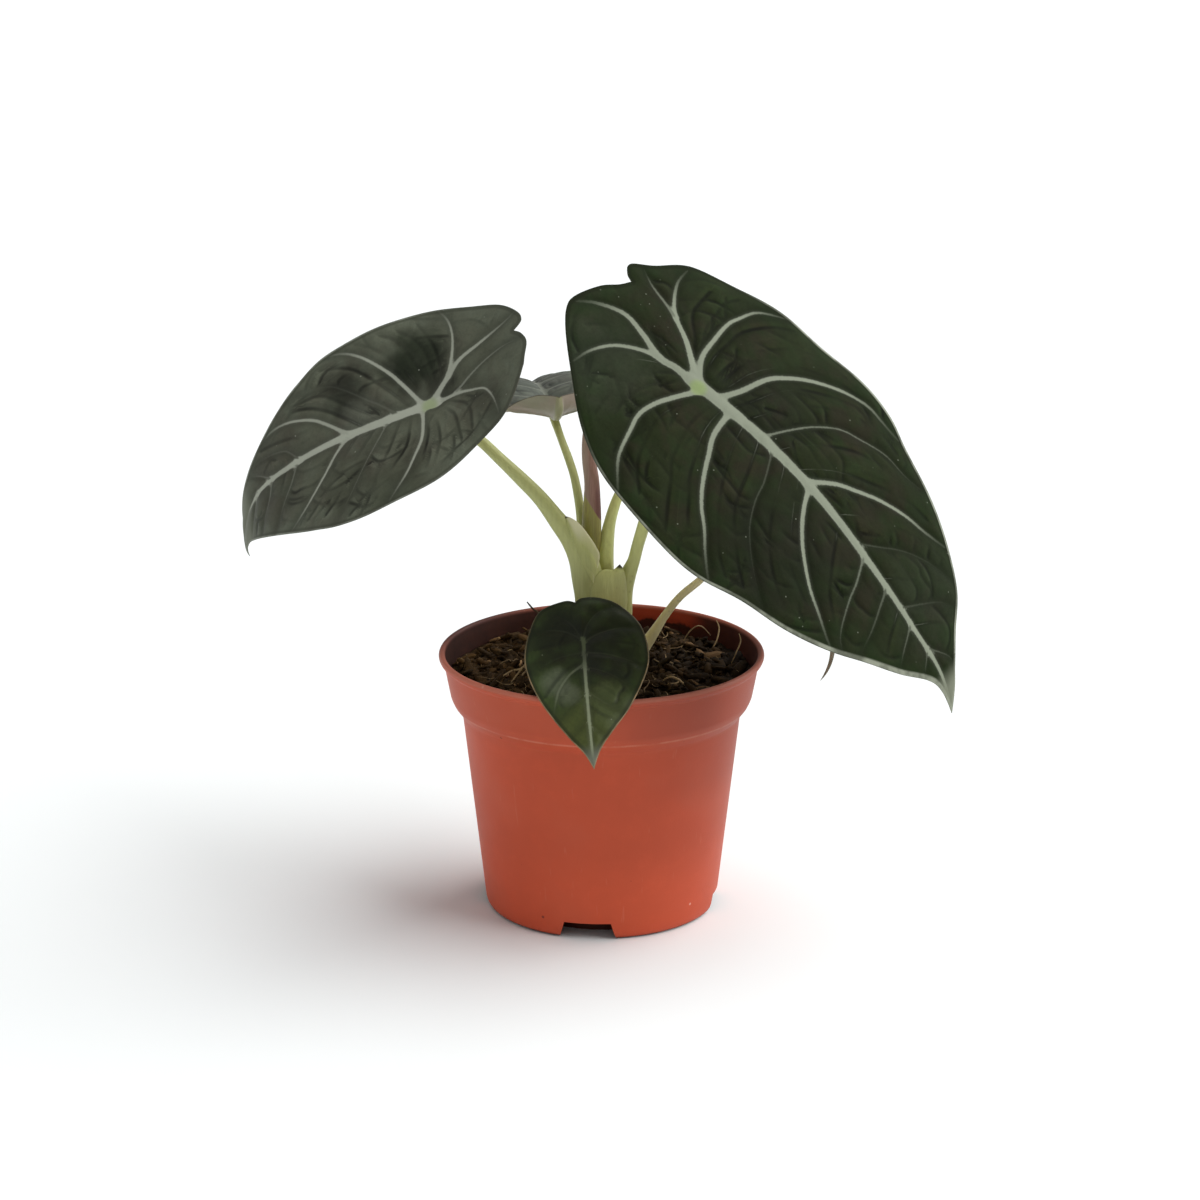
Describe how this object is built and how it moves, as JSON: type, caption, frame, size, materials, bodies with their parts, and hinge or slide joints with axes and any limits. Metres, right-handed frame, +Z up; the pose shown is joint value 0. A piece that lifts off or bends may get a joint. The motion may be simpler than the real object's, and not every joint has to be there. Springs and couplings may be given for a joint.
{
  "type": "potted alocasia plant",
  "caption": "Small potted aroid with dark velvety heart-shaped leaves, pale veins and a rolled new leaf, in a round nursery pot with foot notches.",
  "frame": {"origin": "centre of the pot's underside, on the plane it stands on", "axes": "+Z up, -Y to the front where the small leaf hangs over the rim, +X to the side of the largest leaf"},
  "size_m": [0.2616, 0.1814, 0.2439],
  "materials": {
    "pot_plastic": "satin moulded terracotta-orange polypropylene",
    "soil": "moist lumpy coir and peat with pale root fibres",
    "crown_skin": "matte corky skin",
    "new_leaf": "satin rolled leaf, brown to olive",
    "stalk": "satin pale green with fine streaks",
    "blade_dark": "velvety near-black green with silvery veins, purple-grey beneath",
    "blade_grey": "velvety olive grey with pale veins, purple-grey beneath",
    "blade_young": "glossier dark green with faint veins"
  },
  "bodies": {
    "root": {"pot": "pot_plastic", "soil": "soil", "crown": "crown_skin", "new_leaf": "new_leaf", "stalk_left": "stalk", "stalk_right": "stalk", "stalk_back": "stalk", "stalk_front": "stalk", "stalk_low": "stalk", "stalk_rear": "stalk", "blade_left": "blade_grey", "blade_right": "blade_dark", "blade_back": "blade_dark", "blade_front": "blade_young", "blade_low": "blade_dark", "blade_rear": "blade_dark"}
  },
  "joints": []
}
